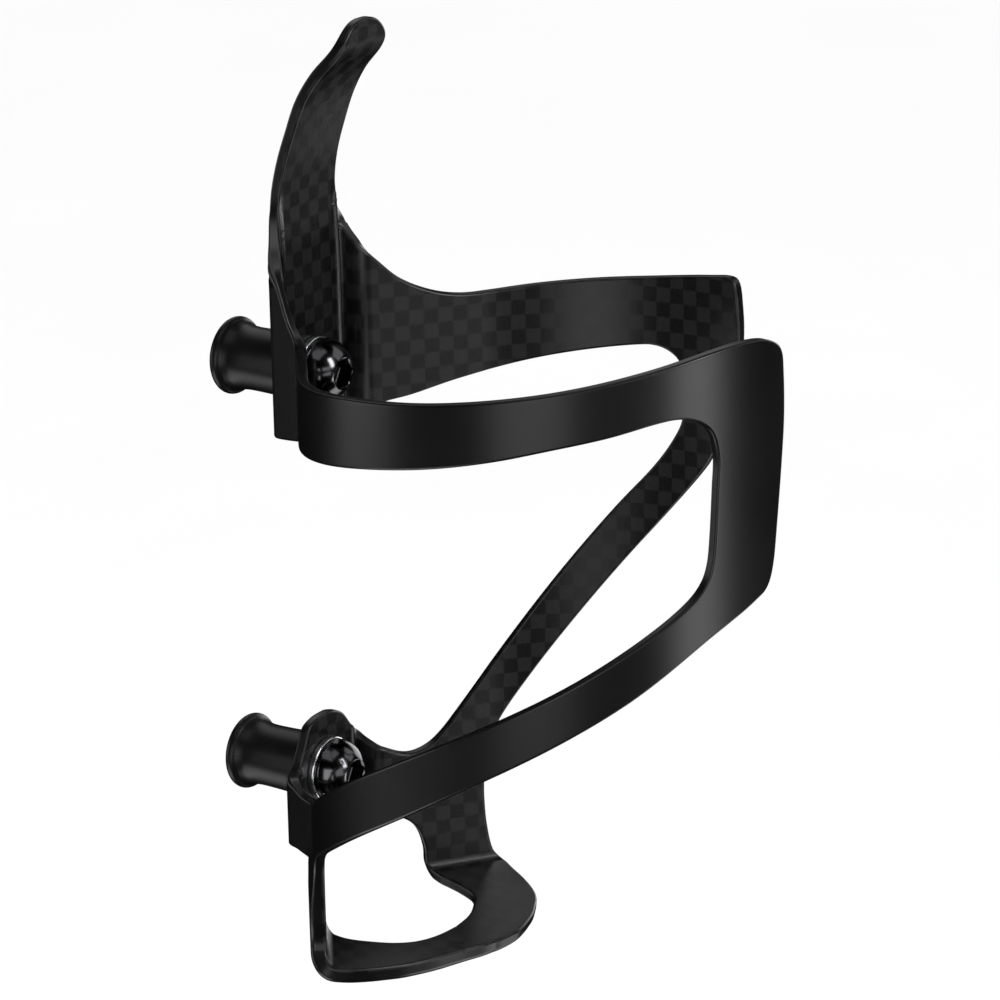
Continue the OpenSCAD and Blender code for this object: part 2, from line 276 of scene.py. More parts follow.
# ---------------------------------------------------------------- outlines on the flat sheet
# Points (s, z) in mm, from measurements, as in the CAD except at the ends where lists meet. The
# SHORT_ lists are mirrored where they are used. The foot's lists are points (x, y) from above.
LONG_ARM_TOP = [(7.4, 56), (7.9, 50.5), (9.4, 45), (11, 40.5), (13, 38.3), (17, 37.7),
    (24, 37.8), (32, 38.7), (42, 39.9), (53, 41.4), (68, 43.2), (85, 45.7), (99, 48.2),
    (108, 49.8), (114, 50.2), (118, 49.6), (120.7, 47.8), (121.3, 44)]
LONG_STRUT_FRONT = [(121.4, 38), (120.9, 32), (119.9, 23.4), (119, 17.1), (117.6, 13.9),
    (114.8, 12.3)]
LONG_BRACE_LOW = [(106.5, 8.3), (95.5, 1.2), (85, -5), (71.5, -12.7), (61, -19), (52.5, -23.9),
    (43.6, -29), (36.6, -32.9), (33, -36.2), (31.6, -41), (31, -46), (30.6, -50)]
LONG_ARM_LOW = [(0, 23.2), (10.5, 23.2), (15, 24), (22, 25.7), (30, 27.7), (38, 28.8),
    (47, 30.2), (57, 32), (68, 34), (77, 35.9), (85, 37.8), (93, 39.4), (99, 40.7),
    (102.8, 41), (105.8, 40.1), (107.8, 38.1), (108.6, 34.6)]
LONG_STRUT_BACK = [(108.4, 30), (108, 23.3), (107.5, 19.2), (106.3, 16.5), (103.6, 13.9)]
LONG_BRACE_TOP = [(97, 9.6), (87, 3.7), (75.5, -2.5), (67, -7), (53.5, -14.4),
    (42, -20.9), (36.5, -24), (30, -28.4), (22, -32.3), (15, -34), (12.4, -34),
    (10.2, -33.4), (8.6, -32)]
SHORT_ARM_TOP = [(7.7, 56.1), (9, 52.7), (11.3, 50.1), (14.2, 47.2), (17.8, 44),
    (22.4, 41.8), (27, 40.8), (32, 40.8), (38.6, 41.3), (47.5, 42), (57, 42.8),
    (66, 43.9), (70.2, 44.4), (71.8, 43.5)]
SHORT_STRUT_FRONT = [(72.4, 40), (72.6, 35.5), (72, 28), (70, 21.5), (67, 15.8)]
SHORT_BRACE_LOW = [(64.7, 12.4), (57.9, 4.2), (51.3, -3.6), (45.1, -11.2), (37.4, -20.9),
    (31.9, -28.3), (29.8, -33.2), (29.2, -38), (29.2, -42), (29.5, -46), (30.2, -50)]
SHORT_ARM_LOW = [(9.5, 23.2), (13.8, 25), (19.1, 25.9), (26, 27.5), (36, 29.3),
    (45, 30.7), (54.5, 32), (57.5, 32.1), (59.8, 31.4), (61.5, 29.9)]
SHORT_STRUT_BACK = [(62.2, 27), (62.1, 22), (60.9, 18.6)]
SHORT_BRACE_TOP = [(57.3, 13.3), (50.6, 5.7), (42.6, -4.1), (33.3, -16), (26.1, -25),
    (22.3, -29.4), (19.5, -31.4), (16.4, -31.9), (12.5, -30.4), (9, -29)]
LONG_LEG_BACK = [(19, -50.6), (18.4, -48), (17.2, -45.8), (15.6, -44.4), (13.8, -43.9),
    (12, -43.7), (10, -42.9), (8, -42.1), (6, -42), (0, -42)]
SHORT_LEG_BACK = [(19.3, -50.6), (19.1, -47.8), (18.1, -44.8), (16.2, -42.9), (13, -42.1),
    (6, -42)]
PLATE_TOP = [(7, -29.6), (5.4, -26.5), (4.1, -24.2), (2, -23.3), (0, -23.1), (-2, -23.2),
    (-4.6, -24.3), (-6.8, -26.9)]
TONGUE = [(7.15, 58), (6.95, 61), (6.75, 65), (6.6, 69), (6.5, 74), (6.15, 78), (5.75, 81.5),
    (5.05, 83.6), (3.3, 85.4), (1.6, 86.1)]
LONG_FOOT_RIM = [(24.4, 18.4), (22.8, 21.2), (20.3, 23.5), (17.9, 25.2), (15.7, 26.6),
    (13.3, 27.7), (10.3, 28.9), (5.3, 30.5), (1.7, 31.8), (0, 32.2)]
LONG_FOOT_HOLE = [(0, 25), (4.4, 24.6), (8, 23.4), (10.7, 21.3), (12.7, 18.6), (14.3, 15.7),
    (14.7, 13.2)]
SHORT_FOOT_RIM = [(23.2, 18.1), (21.9, 20.9), (20.7, 23.9), (19.2, 26.4), (17.1, 28.6),
    (14.4, 30.2), (11.3, 31.6), (6, 32.9), (1.9, 32.7), (0, 32.2)]
SHORT_FOOT_HOLE = [(0, 25), (4.4, 24.4), (7.8, 23), (10.6, 21.1), (11.8, 18), (12.4, 15.2),
    (12.9, 13)]


def mirrored(points):
    """The same points on the other side of the sheet."""
    return [(-s, z) for s, z in points]


def smooth(points, steps=10):
    """Catmull-Rom curve through the points."""
    p = [np.array(q, float) for q in points]
    out = []
    for i in range(len(p) - 1):
        a, b, c, d = p[max(i - 1, 0)], p[i], p[i + 1], p[min(i + 2, len(p) - 1)]
        for k in range(steps):
            t = k / steps
            out.append(0.5 * (2 * b + (c - a) * t + (2 * a - 5 * b + 4 * c - d) * t * t
                              + (3 * b - a - 3 * c + d) * t**3))
    out.append(p[-1])
    return out


def is_bend(s, z):
    """True where the sheet is bent sharply, so the mesh is finer there."""
    a = abs(s)
    if S_CORNER - 0.65 < a < S_WALL + 0.65 or S_FOLD - 0.3 < a < S_WEB + 0.3:
        return True
    return z < -46 and abs(leg_corner(a)[2] - z) < FOOT_TAN + 0.4


def even(points, coarse=0.6, fine=0.28):
    """The curve again, with evenly spaced points: fine ones where the sheet is bent."""
    pts = np.array(points)
    run = np.concatenate([[0], np.cumsum(np.linalg.norm(np.diff(pts, axis=0), axis=1))])
    at, stops = 0.0, [0.0]
    while True:
        s, z = np.interp(at, run, pts[:, 0]), np.interp(at, run, pts[:, 1])
        at += fine if is_bend(s, z) else coarse
        if at > run[-1] - 0.6 * coarse:
            break
        stops.append(at)
    stops.append(run[-1])
    return np.stack([np.interp(stops, run, pts[:, k]) for k in (0, 1)], axis=1)


def on_foot(points):
    """Flat coordinates of points on the foot, from their plan."""
    return [foot_flat(x, y) for x, y in points]


TONGUE_TIP = (0, 86.2)
outer_near = LONG_ARM_TOP + LONG_STRUT_FRONT + LONG_BRACE_LOW + on_foot(LONG_FOOT_RIM)
outer_far = SHORT_ARM_TOP + SHORT_STRUT_FRONT + SHORT_BRACE_LOW + on_foot(SHORT_FOOT_RIM)
outer_edge = even(smooth(list(reversed(outer_near)) + TONGUE + [TONGUE_TIP]
                         + mirrored(reversed(TONGUE)) + mirrored(outer_far)))
lower_far = mirrored(on_foot(SHORT_FOOT_HOLE) + SHORT_LEG_BACK)
lower_edge = even(smooth(lower_far + list(reversed(on_foot(LONG_FOOT_HOLE) + LONG_LEG_BACK))))
window_edge = even(smooth(LONG_ARM_LOW + LONG_STRUT_BACK + LONG_BRACE_TOP + PLATE_TOP
                          + mirrored(reversed(SHORT_ARM_LOW + SHORT_STRUT_BACK + SHORT_BRACE_TOP))
                          + [LONG_ARM_LOW[0]]))[:-1]


def outward(points, closed, ends=None):
    """Unit vectors that point off the flat sheet, for an edge with the sheet on its left."""
    if closed:
        d = np.roll(points, -1, axis=0) - np.roll(points, 1, axis=0)
    else:
        d = np.gradient(points, axis=0)
    n = np.stack([d[:, 1], -d[:, 0]], axis=1)
    n /= np.linalg.norm(n, axis=1, keepdims=True)
    if ends is not None:
        n[0], n[-1] = ends
    return n


# ---------------------------------------------------------------- mesh of the body
RING_ANGLES = [0, 30, 60, 90]
SHEET_END = 123         # s at the tip of the long arm, with a margin
SHEET_LOW = -54         # lowest row of the main grid, and its height
SHEET_HIGH = 142
COLUMN = 1.15           # spacing of the grid's columns and rows
BEND_COLUMN = 0.26
ROW = 1.3


def inside(points, loops):
    """Which points lie inside the sheet's outline and outside its window."""
    hit = np.zeros(len(points), bool)
    for loop in loops:
        a, b = loop, np.roll(loop, -1, axis=0)
        for (x0, y0), (x1, y1) in zip(a, b):
            if y0 == y1:
                continue
            span = (points[:, 1] > min(y0, y1)) & (points[:, 1] <= max(y0, y1))
            x = x0 + (points[:, 1] - y0) / (y1 - y0) * (x1 - x0)
            hit ^= span & (points[:, 0] < x)
    return hit


def far_from(points, loops, gap):
    """Which points are at least gap away from every outline point."""
    edge = np.concatenate(loops)
    keep = np.ones(len(points), bool)
    for start in range(0, len(points), 400):
        part = points[start:start + 400]
        d = np.linalg.norm(part[:, None, :] - edge[None, :, :], axis=2).min(axis=1)
        keep[start:start + 400] = d > gap
    return keep


def grid_points():
    """Points that fill the flat sheet, closer together across the bends."""
    columns, s = [0.0], 0.0
    while s < SHEET_END:
        s += BEND_COLUMN if is_bend(s, 0) else COLUMN
        columns.append(s)
    points = []
    for i, a in enumerate(columns):
        shift = 0 if is_bend(a, 0) else 0.5 * (i % 2)
        for k in range(int(SHEET_HIGH / ROW)):
            z = SHEET_LOW + (k + shift) * ROW
            if z > leg_corner(a)[2] + FOOT_TAN + 0.5 or a < 12:
                points += [(a, z), (-a, z)] if a else [(a, z)]
    # across the bend from each leg to the foot
    for i in range(40):
        a = 13 + i * 0.6
        cz = leg_corner(a)[2]
        for k in range(15):
            z = cz + FOOT_TAN + 0.25 - k * (2 * FOOT_TAN + 0.5) / 14
            points += [(a, z), (-a, z)]
    # over the foot itself
    for i in range(32):
        for k in range(38):
            s = 12 + (i + 0.5 * (k % 2)) * 0.9
            z = leg_corner(s)[2] - FOOT_TAN - 0.9 - k * 0.85
            points += [(s, z), (-s, z)]
    return np.array(points)


def seam(points_in, points_out, n=9):
    """Points across the foot's middle line, between its two edges."""
    return [points_in + (points_out - points_in) * k / n for k in range(1, n)]


def build_body():
    """The whole sheet: two faces over one flat triangulation, joined by rounded edges.

    It has no bolt holes, and it crosses itself along the two folds.
    """
    t, n = np.array([WEB_T[1], -WEB_N[1]]), np.array([-1, 1])
    outer_out = outward(outer_edge, False, (t, t * n))
    lower_out = outward(lower_edge, False, (-t * n, -t))
    window_out = outward(window_edge, True)
    edges = [(outer_edge, outer_out, False), (lower_edge, lower_out, False),
             (window_edge, window_out, True)]
    inner = [p - EDGE_R * o for p, o, _ in edges]
    far_seam = seam(inner[0][-1], inner[1][0])
    near_seam = seam(inner[1][-1], inner[0][0])
    loop = np.concatenate([inner[0], far_seam, inner[1], near_seam])
    loops = [loop, inner[2]]

    fill = grid_points()
    fill = fill[inside(fill, loops)]
    fill = fill[far_from(fill, loops, 0.24)]
    coords = [Vector(p) for p in np.concatenate([loop, inner[2], fill])]
    n_loop, n_window = len(loop), len(inner[2])
    borders = [(i, (i + 1) % n_loop) for i in range(n_loop)]
    borders += [(n_loop + i, n_loop + (i + 1) % n_window) for i in range(n_window)]
    flat, _, tris, source, _, _ = delaunay_2d_cdt(coords, borders, [], 0, 1e-5, True)
    flat = np.array([tuple(p) for p in flat])
    tris = np.array([tuple(f) for f in tris])
    tris = tris[inside(flat[tris].mean(axis=1), loops)]
    place_of = {k: i for i, ids in enumerate(source) for k in ids}

    verts, normals, coords_flat, keys = [], [], [], {}

    def add(s, z, h, normal):
        """A vertex at h off the middle. Both halves of the foot share those that lie on X = 0.

        Most of the seam's points are up to 0.012 mm off it and aren't shared: a slit stays open.
        """
        p = face_point(s, z, h)
        key = None
        if abs(p.x) < 1e-3 and z < -60:
            p.x = 0
            key = (round(p.y, 2), round(p.z, 2))
            if key in keys:
                return keys[key]
        verts.append(p * MM)
        normals.append(normal)
        coords_flat.append((s, z, h))
        if key:
            keys[key] = len(verts) - 1
            normals[-1].x = 0
            normals[-1].normalize()
        return len(verts) - 1

    front = [add(s, z, WALL / 2, face_normal(s, z, WALL / 2)) for s, z in flat]
    back = [add(s, z, -WALL / 2, -face_normal(s, z, -WALL / 2)) for s, z in flat]
    faces = []
    for a, b, c in tris:
        (ax, ay), (bx, by), (cx, cy) = flat[a], flat[b], flat[c]
        if (bx - ax) * (cy - ay) - (by - ay) * (cx - ax) < 0:
            b, c = c, b
        faces.append((front[a], front[c], front[b]))
        faces.append((back[a], back[b], back[c]))

    starts = [0, len(inner[0]) + len(far_seam), n_loop]
    for (points, out, closed), start in zip(edges, starts):
        rings = []
        for side in (1, -1):
            for angle in (RING_ANGLES if side > 0 else reversed(RING_ANGLES)):
                sin, cos = math.sin(rad(angle)), math.cos(rad(angle))
                if angle == 0:
                    sheet_side = front if side > 0 else back
                    rings.append([sheet_side[place_of[start + i]] for i in range(len(points))])
                    continue
                ring = []
                for p, o in zip(points, out):
                    q = p - EDGE_R * (1 - sin) * o
                    n3 = face_normal(q[0], q[1], side)
                    away = (sheet(*(q + 0.02 * o)) - sheet(*(q - 0.02 * o))).normalized()
                    ring.append(add(q[0], q[1], side * (WALL / 2 - EDGE_R * (1 - cos)),
                                    (away * sin + n3 * side * cos).normalized()))
                rings.append(ring)
        count = len(points)
        for lower, upper in zip(rings, rings[1:]):
            for i in range(count if closed else count - 1):
                j = (i + 1) % count
                faces.append((lower[i], lower[j], upper[j], upper[i]))

    mesh = bpy.data.meshes.new("cage_laminate")
    mesh.from_pydata(verts, [], faces)
    mesh.update()
    flat_at = mesh.attributes.new("flat", "FLOAT_VECTOR", "POINT")
    flat_at.data.foreach_set("vector", np.array(coords_flat, np.float32).ravel())
    mesh.shade_smooth()
    mesh.normals_split_custom_set_from_vertices([tuple(v) for v in normals])
    body = bpy.data.objects.new("cage_laminate", mesh)
    bpy.context.collection.objects.link(body)
    return body


# ---------------------------------------------------------------- turned pieces
THREAD_PITCH = 0.8
THREAD_DEPTH = 0.45
THREAD_LEN = 9
SHANK_R = 2.48
SOCKET_HALF = 2.05      # half the hexagon's width across flats
SOCKET_DEPTH = 2.4
# The faces of all the small pieces made below point inward.
BORE_R = 2.65           # of the washers and the sleeves
INSERT_BORE_R = 2.5
INSERT_R = 3.48
INSERT_LEN = 9
FLANGE_R = 1.0          # rounding of the sleeve's flange
TAB_HALF = 1.2          # half the width of the insert's tab


def ring_radius(r, y, form, angle):
    """Radius of a round, threaded or hexagonal ring. A hexagon's r is half its width across flats."""
    if form == "round":
        return r
    if form == "thread":
        turn = (y / THREAD_PITCH - angle / (2 * math.pi)) % 1
        return r - THREAD_DEPTH * max(0, min(1, abs(2 * turn - 1) * 1.3 - 0.15))
    sixth = math.pi / 3
    return r / math.cos(angle % sixth - sixth / 2)


def turned(name, rows, z, segments=72, close=False):
    """A piece turned about the bolt axis at height z. A row is (radius, y, form)."""
    verts, faces = [], []
    for r, y, form in rows:
        for k in range(segments):
            a = 2 * math.pi * k / segments
            q = ring_radius(r, y, form, a)
            verts.append(Vector((q * math.cos(a), y, z + q * math.sin(a))) * MM)
    pairs = list(zip(range(len(rows)), range(1, len(rows))))
    if close:
        pairs.append((len(rows) - 1, 0))
    for i, j in pairs:
        for k in range(segments):
            m = (k + 1) % segments
            faces.append((i * segments + k, i * segments + m, j * segments + m, j * segments + k))
    if not close:
        faces.append([k for k in reversed(range(segments))])
        faces.append([(len(rows) - 1) * segments + k for k in range(segments)])
    mesh = bpy.data.meshes.new(name)
    mesh.from_pydata(verts, [], faces)
    mesh.update()
    piece = bpy.data.objects.new(name, mesh)
    bpy.context.collection.objects.link(piece)
    return piece


def arc_rows(start, end, centre_y, steps):
    """Round rows on a circle about (0, centre_y), from the start row to the end row."""
    a0 = math.atan2(start[1] - centre_y, start[0])
    a1 = math.atan2(end[1] - centre_y, end[0])
    r = math.hypot(start[0], start[1] - centre_y)
    angles = [a0 + (a1 - a0) * k / steps for k in range(steps + 1)]
    return [(r * math.cos(a), centre_y + r * math.sin(a), "round") for a in angles]


def round_rows(centre, r, a0, a1, steps):
    """Round rows on a small fillet about centre = (radius, y), between two angles in degrees."""
    angles = [rad(a0 + (a1 - a0) * k / steps) for k in range(steps + 1)]
    return [(centre[0] + r * math.cos(a), centre[1] + r * math.sin(a), "round") for a in angles]


def build_bolt(name, node):
    """A threaded bolt with a half-ball head and a hexagonal socket."""
    low, high = [Vector(c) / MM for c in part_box(node)]
    z = (low.z + high.z) / 2
    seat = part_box("upper_washer")[1][1] / MM
    ball, top = (high.x - low.x) / 2, high.y
    shank, socket, floor_y = SHANK_R, SOCKET_HALF, top - SOCKET_DEPTH
    rows = [(1.5, low.y, "round"), (1.9, low.y + 0.08, "round")]
    steps = 90
    for k in range(steps + 1):
        y = low.y + 0.25 + k * THREAD_LEN / steps
        rows.append((min(shank, 1.95 + (y - low.y) * 0.9), y, "thread"))
    rows += [(shank, low.y + 9.6, "round"), (shank, seat, "round"), (ball - 1, seat, "round")]
    rows += arc_rows((ball - 0.72, seat + 0.02), (ball - 0.02, seat + 0.66), seat + 0.7, 5)[1:]
    flat_r = math.sqrt(ball**2 - (top - seat) ** 2)
    rows += [(ball * math.cos(e), seat + ball * math.sin(e), "round")
             for e in np.linspace(math.asin(0.9 / ball), math.asin((top - seat) / ball) - 0.035, 26)]
    rows += [(flat_r + 0.02, top - 0.02, "round"), (flat_r - 0.06, top - 0.03, "round"),
             (socket + 0.04, top - 0.16, "hex"), (socket, top - 0.32, "hex"),
             (socket, floor_y + 0.1, "hex"), (socket - 0.12, floor_y, "hex"),
             (1.1, floor_y - 0.1, "round"), (0.1, floor_y - 0.5, "round")]
    piece = turned(name, rows, z, 96)
    shade(piece, 32)
    return piece


def build_washer(name, node):
    """A flat washer with softened rims."""
    low, high = [Vector(c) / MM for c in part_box(node)]
    z, r = (low.z + high.z) / 2, (high.x - low.x) / 2
    bore = BORE_R
    rows = [(bore, low.y + 0.1, "round"), (bore + 0.08, low.y, "round"), (r - 0.2, low.y, "round")]
    rows += round_rows((r - 0.2, low.y + 0.2), 0.2, -80, 0, 4)
    rows += round_rows((r - 0.26, high.y - 0.26), 0.26, 0, 85, 5)
    rows += [(bore + 0.12, high.y, "round"), (bore, high.y - 0.1, "round")]
    piece = turned(name, rows, z, 96, close=True)
    shade(piece, 40)
    return piece


def build_sleeve(name, node):
    """A rubber stand-off with a waisted barrel and a rounded flange."""
    low, high = [Vector(c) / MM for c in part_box(node)]
    z, flange = (low.z + high.z) / 2, (high.x - low.x) / 2
    bore, rim = BORE_R, FLANGE_R
    rows = [(bore, 0.1, "round"), (bore + 0.15, 0, "round"), (flange - rim - 0.25, 0, "round")]
    rows += round_rows((flange - rim, rim), rim, -85, 55, 12)
    profile = [(flange - 0.62, 2.15), (4.98, 3.1), (4.83, 4.4), (4.82, 6.2), (4.9, 9), (5.05, 12),
               (5.15, 13.7)]
    rows += [(r, y, "round") for r, y in [tuple(q) for q in smooth(profile, 5)]]
    rows += [(5.05, high.y, "round"), (3.62, high.y, "round"), (3.5, high.y - 0.2, "round"),
             (3.5, high.y - INSERT_LEN, "round"), (bore, high.y - INSERT_LEN, "round")]
    piece = turned(name, rows, z, 96, close=True)
    shade(piece, 45)
    return piece


def build_insert(name, node):
    """The metal tube inside a sleeve, and its tab as a second piece, which cuts into the rubber."""
    low, high = [Vector(c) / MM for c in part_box(node)]
    bolt_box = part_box(node.replace("insert", "bolt"))
    z = (bolt_box[0][2] + bolt_box[1][2]) / 2 / MM
    bore = INSERT_BORE_R
    rows = [(bore, low.y + 0.2, "round"), (bore + 0.2, low.y, "round"), (3.3, low.y, "round"),
            (INSERT_R, low.y + 0.2, "round"), (INSERT_R, high.y - 0.2, "round"), (3.3, high.y, "round"),
            (bore + 0.2, high.y, "round"), (bore, high.y - 0.2, "round")]
    piece = turned(name, rows, z, 72, close=True)
    tab_side = [(high.y - 4, 4.7), (high.y - 2.9, 5.75), (high.y - 2.2, 6.1), (high.y - 0.15, 6.15),
                (high.y - 0.02, 5.9), (high.y - 0.02, 3.0), (high.y - 4, 3.0)]
    verts = [(x, y, z - r) for x in (-TAB_HALF, TAB_HALF) for y, r in tab_side]
    n = len(tab_side)
    faces = [list(range(n)), [2 * n - 1 - k for k in range(n)]]
    faces += [(k, n + k, n + (k + 1) % n, (k + 1) % n) for k in range(n)]
    mesh = bpy.data.meshes.new(name + "_tab")
    mesh.from_pydata([Vector(v) * MM for v in verts], [], faces)
    mesh.update()
    tab = bpy.data.objects.new(name + "_tab", mesh)
    bpy.context.collection.objects.link(tab)
    bevel = tab.modifiers.new("bevel", "BEVEL")
    bevel.width, bevel.segments = 0.18 * MM, 3
    shade(tab, 40)
    shade(piece, 40)
    return piece, tab


def shade(piece, angle):
    """Smooth shading that keeps edges sharper than angle crisp."""
    mesh = piece.data
    mesh.shade_smooth()
    mesh.set_sharp_from_angle(angle=rad(angle))


# ---------------------------------------------------------------- materials
CARBON_DARK = (0.0008, 0.0008, 0.001)
CARBON_LIGHT = (0.0054, 0.0054, 0.0061)
CARBON_ROUGHNESS = 0.32
TOW = 2.3               # side of the weave's squares, in mm


class Nodes:
    """Short way to build a material's nodes."""

    def __init__(self, name):
        self.mat = bpy.data.materials.new(name)
        self.mat.use_nodes = True
        self.tree = self.mat.node_tree
        self.shader = self.tree.nodes["Principled BSDF"]

    def add(self, kind, inputs=None, **settings):
        """A new node. An input is a value, or a socket to link from."""
        node = self.tree.nodes.new(kind)
        for key, value in settings.items():
            setattr(node, key, value)
        for key, value in (inputs or {}).items():
            if isinstance(value, bpy.types.NodeSocket):
                self.tree.links.new(value, node.inputs[key])
            else:
                node.inputs[key].default_value = value
        return node

    def math(self, op, a, b):
        """Result of a Math node on two numbers or sockets."""
        node = self.add("ShaderNodeMath", operation=op)
        for i, v in enumerate((a, b)):
            if isinstance(v, bpy.types.NodeSocket):
                self.tree.links.new(v, node.inputs[i])
            else:
                node.inputs[i].default_value = v
        return node.outputs[0]

    def blend(self, factor, a, b):
        """Number between a and b."""
        node = self.add("ShaderNodeMapRange", {"Value": factor, "To Min": a, "To Max": b})
        return node.outputs[0]

    def colour(self, factor, a, b):
        """Colour between a and b."""
        ramp_node = self.add("ShaderNodeValToRGB", {"Fac": factor})
        ramp_node.color_ramp.elements[0].color = (*a, 1)
        ramp_node.color_ramp.elements[1].color = (*b, 1)
        return ramp_node.outputs[0]

    def link(self, socket, name):
        """Drives one of the shader's inputs."""
        self.tree.links.new(socket, self.shader.inputs[name])

    def set(self, **values):
        """Constants on the shader's own sockets."""
        for key, value in values.items():
            self.shader.inputs[key.replace("_", " ")].default_value = value


def carbon_material():
    """Satin carbon laminate: squares of tows at right angles, under the resin of the inner faces."""
    m = Nodes("carbon_laminate")
    flat = m.add("ShaderNodeAttribute", attribute_name="flat").outputs["Vector"]
    s, z, h = m.add("ShaderNodeSeparateXYZ", {"Vector": flat}).outputs
    wander = m.add("ShaderNodeTexNoise", {"Vector": flat, "Scale": 0.12, "Detail": 1.0}).outputs["Fac"]
    s = m.math("ADD", s, m.math("MULTIPLY", wander, 0.7))
    cells = m.add("ShaderNodeCombineXYZ", {"X": s, "Y": z}).outputs[0]
    check = m.add("ShaderNodeTexChecker", {"Vector": cells, "Scale": 1 / TOW}).outputs["Fac"]
    tows = {"Vector": cells, "Scale": 1.6, "Distortion": 0.6, "Detail": 2.0, "Detail Scale": 3.0}
    along = m.add("ShaderNodeTexWave", tows, bands_direction="Y").outputs["Fac"]
    across = m.add("ShaderNodeTexWave", tows, bands_direction="X").outputs["Fac"]
    fibre = m.add("ShaderNodeMix", {"Factor": check, "A": along, "B": across}).outputs[0]
    inner = m.math("GREATER_THAN", h, 0.3)
    shown = m.math("MULTIPLY", check, m.blend(inner, 0.0, 1.0))
    cloud = m.add("ShaderNodeTexNoise", {"Vector": flat, "Scale": 0.09, "Detail": 3.0}).outputs["Fac"]
    fine = m.add("ShaderNodeTexNoise", {"Vector": flat, "Scale": 9.0, "Detail": 3.0}).outputs["Fac"]
    tone = m.math("ADD", m.math("MULTIPLY", shown, 0.75), m.math("MULTIPLY", cloud, 0.25))
    m.link(m.colour(tone, CARBON_DARK, CARBON_LIGHT), "Base Color")
    rough = m.math("ADD", m.math("MULTIPLY", shown, 0.05), m.math("MULTIPLY", cloud, 0.04))
    rough = m.math("ADD", rough, m.math("MULTIPLY", fine, 0.02))
    m.link(m.math("ADD", rough, CARBON_ROUGHNESS - 0.03), "Roughness")
    relief = m.math("MULTIPLY", fibre, m.blend(inner, 0.08, 0.4))
    height = m.math("ADD", relief, m.math("MULTIPLY", fine, 0.5))
    bump = m.add("ShaderNodeBump", {"Height": height, "Strength": 0.1, "Distance": 0.03 * MM})
    m.link(bump.outputs[0], "Normal")
    return m.mat


def bolt_material():
    """Glossy black finish over steel, slightly uneven."""
    m = Nodes("bolt_black")
    place = m.add("ShaderNodeTexCoord").outputs["Object"]
    cloud = m.add("ShaderNodeTexNoise", {"Vector": place, "Scale": 900.0, "Detail": 4.0}).outputs["Fac"]
    m.link(m.colour(cloud, (0.085, 0.085, 0.09), (0.115, 0.115, 0.12)), "Base Color")
    m.link(m.blend(cloud, 0.12, 0.2), "Roughness")
    bump = m.add("ShaderNodeBump", {"Height": cloud, "Strength": 0.03, "Distance": 0.02 * MM})
    m.link(bump.outputs[0], "Normal")
    m.set(Metallic=1.0)
    return m.mat


def steel_material(name, tint, low, high):
    """Bright plated metal with a fine grain."""
    m = Nodes(name)
    place = m.add("ShaderNodeTexCoord").outputs["Object"]
    streak = m.add("ShaderNodeTexNoise", {"Vector": place, "Scale": 2500.0, "Detail": 3.0}).outputs["Fac"]
    cloud = m.add("ShaderNodeTexNoise", {"Vector": place, "Scale": 500.0, "Detail": 3.0}).outputs["Fac"]
    m.link(m.colour(cloud, tuple(0.82 * c for c in tint), tint), "Base Color")
    m.link(m.blend(streak, low, high), "Roughness")
    bump = m.add("ShaderNodeBump", {"Height": streak, "Strength": 0.15, "Distance": 0.02 * MM})
    m.link(bump.outputs[0], "Normal")
    m.set(Metallic=1.0)
    return m.mat


def rubber_material():
    """Satin black moulded rubber with a fine grain."""
    m = Nodes("sleeve_rubber")
    place = m.add("ShaderNodeTexCoord").outputs["Object"]
    grain = m.add("ShaderNodeTexNoise", {"Vector": place, "Scale": 3500.0, "Detail": 3.0}).outputs["Fac"]
    cloud = m.add("ShaderNodeTexNoise", {"Vector": place, "Scale": 220.0, "Detail": 3.0}).outputs["Fac"]
    m.link(m.colour(cloud, (0.0016, 0.0016, 0.0018), (0.0035, 0.0035, 0.0038)), "Base Color")
    rough = m.math("ADD", m.math("MULTIPLY", cloud, 0.1), m.math("MULTIPLY", grain, 0.06))
    m.link(m.math("ADD", rough, 0.27), "Roughness")
    bump = m.add("ShaderNodeBump", {"Height": grain, "Strength": 0.18, "Distance": 0.03 * MM})
    m.link(bump.outputs[0], "Normal")
    m.set(Specular_IOR_Level=0.3)
    return m.mat


# ---------------------------------------------------------------- the object
def finish_piece(piece, material, slot, *nodes):
    """Gives a piece its material and its place in the part."""
    piece.data.materials.clear()
    piece.data.materials.append(material)
    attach(piece, "root")
    if nodes:
        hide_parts(*nodes)


finish_piece(build_body(), carbon_material(), "carbon", "cage_body")
black = bolt_material()
zinc = steel_material("washer_zinc", (0.83, 0.84, 0.86), 0.14, 0.3)
rubber = rubber_material()
insert_metal = steel_material("insert_metal", (0.78, 0.78, 0.79), 0.2, 0.4)
for level in ("upper", "lower"):
    bolt = build_bolt(level + "_bolt_look", level + "_bolt")
    finish_piece(bolt, black, "bolt_black", level + "_bolt")
    washer = build_washer(level + "_washer_look", level + "_washer")
    finish_piece(washer, zinc, "washer_zinc", level + "_washer")
    sleeve = build_sleeve(level + "_sleeve_look", level + "_sleeve")
    finish_piece(sleeve, rubber, "sleeve_rubber", level + "_sleeve")
    liner, tab = build_insert(level + "_insert_look", level + "_insert")
    finish_piece(liner, insert_metal, "insert_metal", level + "_insert")
    finish_piece(tab, insert_metal, "insert_metal")


# ---------------------------------------------------------------- stage, light and camera
CAMERA_AZIMUTH = 34.47
CAMERA_ELEVATION = 17.73
CAMERA_ROLL = -1.09
CAMERA_DISTANCE = 0.6236
CAMERA_TARGET = Vector((0, 0.0489, 0.01683))
LENS = 153.4


